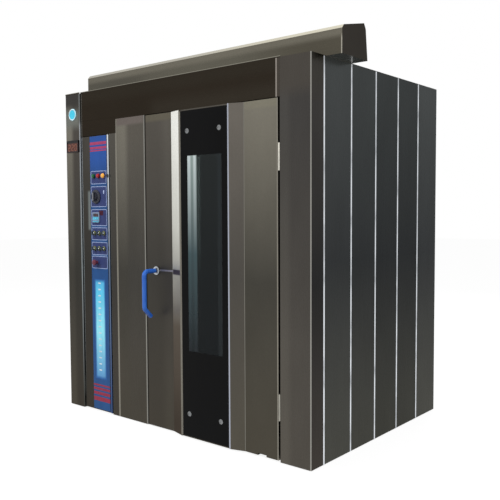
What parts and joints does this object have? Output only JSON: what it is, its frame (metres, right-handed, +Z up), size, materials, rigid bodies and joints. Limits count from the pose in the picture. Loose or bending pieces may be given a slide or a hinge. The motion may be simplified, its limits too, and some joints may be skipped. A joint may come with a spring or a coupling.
{
  "type": "rotating rack oven",
  "caption": "Insulated walk-up bakery oven with a portal front, a tall windowed door, a control column and a rack that turns on a hook inside",
  "frame": {"origin": "On the floor, under the middle of the cabinet's footprint (duct overhang, handle and pipes not counted)", "axes": "+X to the right along the front, +Y from the front to the back, +Z up"},
  "size_m": [2.246, 1.6865, 2.49],
  "materials": {
    "front_steel": "brushed stainless sheet, vertical grain",
    "dark_header": "brushed stainless sheet in shadow, horizontal grain",
    "side_steel": "brushed stainless sheet, vertical grain",
    "roof_steel": "brushed stainless sheet",
    "polished_strip": "polished stainless bead",
    "duct_steel": "brushed stainless sheet, grain along the duct",
    "liner_steel": "stainless sheet, heat-toned",
    "frame_paint": "grey painted tube",
    "mineral_wool": "pressed mineral wool",
    "heater_metal": "oxidised heater sheath",
    "motor_paint": "blue-grey enamel",
    "drip_iron": "bare iron shelves",
    "galvanised": "zinc coated sheet",
    "switchgear": "grey moulded housings on a zinc plate",
    "lamp_glass": "clear lamp tubes",
    "badge_plain": "plain light blue badge with a pale rim",
    "display_window": "black bezel with a red window",
    "overlay_blue": "printed blue sheet",
    "lamp_lens": "coloured lens in a black collar",
    "controller_body": "pale frame with a dark window",
    "black_plastic": "black moulded plastic",
    "switch_ring": "yellow-green ring with a black grip",
    "stop_red": "red mushroom head",
    "door_steel": "brushed stainless sheet, vertical grain",
    "door_liner": "stainless sheet",
    "black_glass": "black printed glass with a clear middle",
    "clear_glass": "clear heat-resistant glass",
    "gasket_rubber": "silicone profile",
    "screw_chrome": "polished dome",
    "hinge_steel": "ground steel",
    "bolt_steel": "ground steel",
    "handle_metal": "polished rod and hub",
    "handle_blue": "blue grip sleeve",
    "fan_steel": "stainless sheet",
    "rack_steel": "stainless tube",
    "tray_aluminium": "pressed aluminium sheet",
    "caster_steel": "pressed steel",
    "wheel_black": "heat-resistant wheel"
  },
  "bodies": {
    "cabinet": {"base_frame": "frame_paint", "chamber_floor": "liner_steel", "left_pillar": "front_steel", "right_pillar": "front_steel", "header_panel": "dark_header", "fixed_front_panels": "front_steel", "side_panels": "side_steel", "back_panels": "side_steel", "roof_panels": "roof_steel", "seam_strips": "polished_strip", "roof_duct": "duct_steel", "wall_insulation": "mineral_wool", "chamber_liner": "liner_steel", "air_wall": "liner_steel", "jamb_frame": "liner_steel", "heater_bank": "heater_metal", "fan_motor": "motor_paint", "steam_generator": "drip_iron", "vent_stack": "galvanised", "rack_drive": "motor_paint", "switchgear_plate": "switchgear", "chamber_lamp": "lamp_glass", "badge": "badge_plain", "number_display": "display_window", "frame_hinges": "hinge_steel"},
    "door": {"door_outer_skin": "door_steel", "door_inner_skin": "door_liner", "door_insulation": "mineral_wool", "door_glass_outer": "black_glass", "door_glass_inner": "clear_glass", "door_gasket": "gasket_rubber", "glass_screws": "screw_chrome", "door_hinge_leaves": "hinge_steel"},
    "handle": {"handle_lever": "handle_metal", "handle_sleeve": "handle_blue"},
    "bolt": {"latch_bolt": "bolt_steel"},
    "access_door": {"control_door": "front_steel", "control_overlay": "overlay_blue", "indicator_lamps": "lamp_lens", "temp_controller": "controller_body"},
    "lock": {"control_lock": "black_plastic"},
    "timer": {"timer_knob": "black_plastic"},
    "stop": {"stop_button": "stop_red"},
    "fan": {"fan_wheel": "fan_steel"},
    "damper": {"vent_damper": "galvanised"},
    "rack": {"rack_hanger": "rack_steel", "rack_frame": "rack_steel", "baking_trays": "tray_aluminium"},
    "swivel_left": {"swivel_fork_left": "caster_steel"},
    "swivel_right": {"swivel_fork_right": "caster_steel"},
    "wheel_fl": {"wheel_front_left": "wheel_black"},
    "wheel_fr": {"wheel_front_right": "wheel_black"},
    "wheel_rl": {"wheel_rear_left": "wheel_black"},
    "wheel_rr": {"wheel_rear_right": "wheel_black"},
    "selector_knob_1": {"selector_1": "switch_ring"},
    "selector_knob_2": {"selector_2": "switch_ring"},
    "selector_knob_3": {"selector_3": "switch_ring"},
    "selector_knob_4": {"selector_4": "switch_ring"},
    "selector_knob_5": {"selector_5": "switch_ring"},
    "selector_knob_6": {"selector_6": "switch_ring"}
  },
  "joints": [
    {"name": "door_swing", "type": "hinge", "parent": "cabinet", "child": "door", "pos_m": [0.853, -0.7505, 1], "axis": [0, 0, 1], "range_deg": [0, 115]},
    {"name": "handle_turn", "type": "hinge", "parent": "door", "child": "handle", "pos_m": [-0.1375, -0.7525, 1.035], "axis": [0, 1, 0], "range_deg": [0, 80]},
    {"name": "bolt_slide", "type": "slide", "parent": "door", "child": "bolt", "axis": [1, 0, 0], "range_m": [0, 0.02334]},
    {"name": "access_door_swing", "type": "hinge", "parent": "cabinet", "child": "access_door", "pos_m": [-0.9035, -0.7465, 0.96], "axis": [0, 0, -1], "range_deg": [0, 90]},
    {"name": "lock_turn", "type": "hinge", "parent": "access_door", "child": "lock", "pos_m": [-0.6175, -0.7525, 1.662], "axis": [0, -1, 0], "range_deg": [0, 90]},
    {"name": "timer_turn", "type": "hinge", "parent": "access_door", "child": "timer", "pos_m": [-0.7505, -0.7525, 1.521], "axis": [0, 1, 0], "range_deg": [0, 270]},
    {"name": "selector_turn_1", "type": "hinge", "parent": "access_door", "child": "selector_knob_1", "pos_m": [-0.7725, -0.7525, 1.267], "axis": [0, 1, 0], "range_deg": [-45, 45]},
    {"name": "selector_turn_2", "type": "hinge", "parent": "access_door", "child": "selector_knob_2", "pos_m": [-0.7205, -0.7525, 1.267], "axis": [0, 1, 0], "range_deg": [-45, 45]},
    {"name": "selector_turn_3", "type": "hinge", "parent": "access_door", "child": "selector_knob_3", "pos_m": [-0.6685, -0.7525, 1.267], "axis": [0, 1, 0], "range_deg": [-45, 45]},
    {"name": "selector_turn_4", "type": "hinge", "parent": "access_door", "child": "selector_knob_4", "pos_m": [-0.7725, -0.7525, 1.16], "axis": [0, 1, 0], "range_deg": [-45, 45]},
    {"name": "selector_turn_5", "type": "hinge", "parent": "access_door", "child": "selector_knob_5", "pos_m": [-0.7205, -0.7525, 1.16], "axis": [0, 1, 0], "range_deg": [-45, 45]},
    {"name": "selector_turn_6", "type": "hinge", "parent": "access_door", "child": "selector_knob_6", "pos_m": [-0.6685, -0.7525, 1.16], "axis": [0, 1, 0], "range_deg": [-45, 45]},
    {"name": "stop_press", "type": "slide", "parent": "access_door", "child": "stop", "axis": [0, 1, 0], "range_m": [0, 0.005], "stiffness_N_per_m": 1200},
    {"name": "fan_spin", "type": "hinge", "parent": "cabinet", "child": "fan", "pos_m": [-0.5945, 0.205, 2.25], "axis": [0, 0, 1], "continuous": true},
    {"name": "damper_turn", "type": "hinge", "parent": "cabinet", "child": "damper", "pos_m": [-0.7725, 0.4875, 2.39], "axis": [1, 0, 0], "range_deg": [0, 90]},
    {"name": "rack_turn", "type": "hinge", "parent": "cabinet", "child": "rack", "pos_m": [0.3575, 0.015, 2], "axis": [0, 0, 1], "continuous": true},
    {"name": "swivel_turn_left", "type": "hinge", "parent": "rack", "child": "swivel_left", "pos_m": [0.0895, -0.332, 0.13], "axis": [0, 0, 1], "continuous": true},
    {"name": "swivel_turn_right", "type": "hinge", "parent": "rack", "child": "swivel_right", "pos_m": [0.6255, -0.332, 0.13], "axis": [0, 0, 1], "continuous": true},
    {"name": "wheel_spin_fl", "type": "hinge", "parent": "swivel_left", "child": "wheel_fl", "pos_m": [0.0895, -0.298, 0.073], "axis": [1, 0, 0], "continuous": true},
    {"name": "wheel_spin_fr", "type": "hinge", "parent": "swivel_right", "child": "wheel_fr", "pos_m": [0.6255, -0.298, 0.073], "axis": [1, 0, 0], "continuous": true},
    {"name": "wheel_spin_rl", "type": "hinge", "parent": "rack", "child": "wheel_rl", "pos_m": [0.0895, 0.362, 0.073], "axis": [1, 0, 0], "continuous": true},
    {"name": "wheel_spin_rr", "type": "hinge", "parent": "rack", "child": "wheel_rr", "pos_m": [0.6255, 0.362, 0.073], "axis": [1, 0, 0], "continuous": true}
  ],
  "couplings": [
    {"joint": "bolt_slide", "follows": "handle_turn", "m_per_rad": 0.016573}
  ]
}
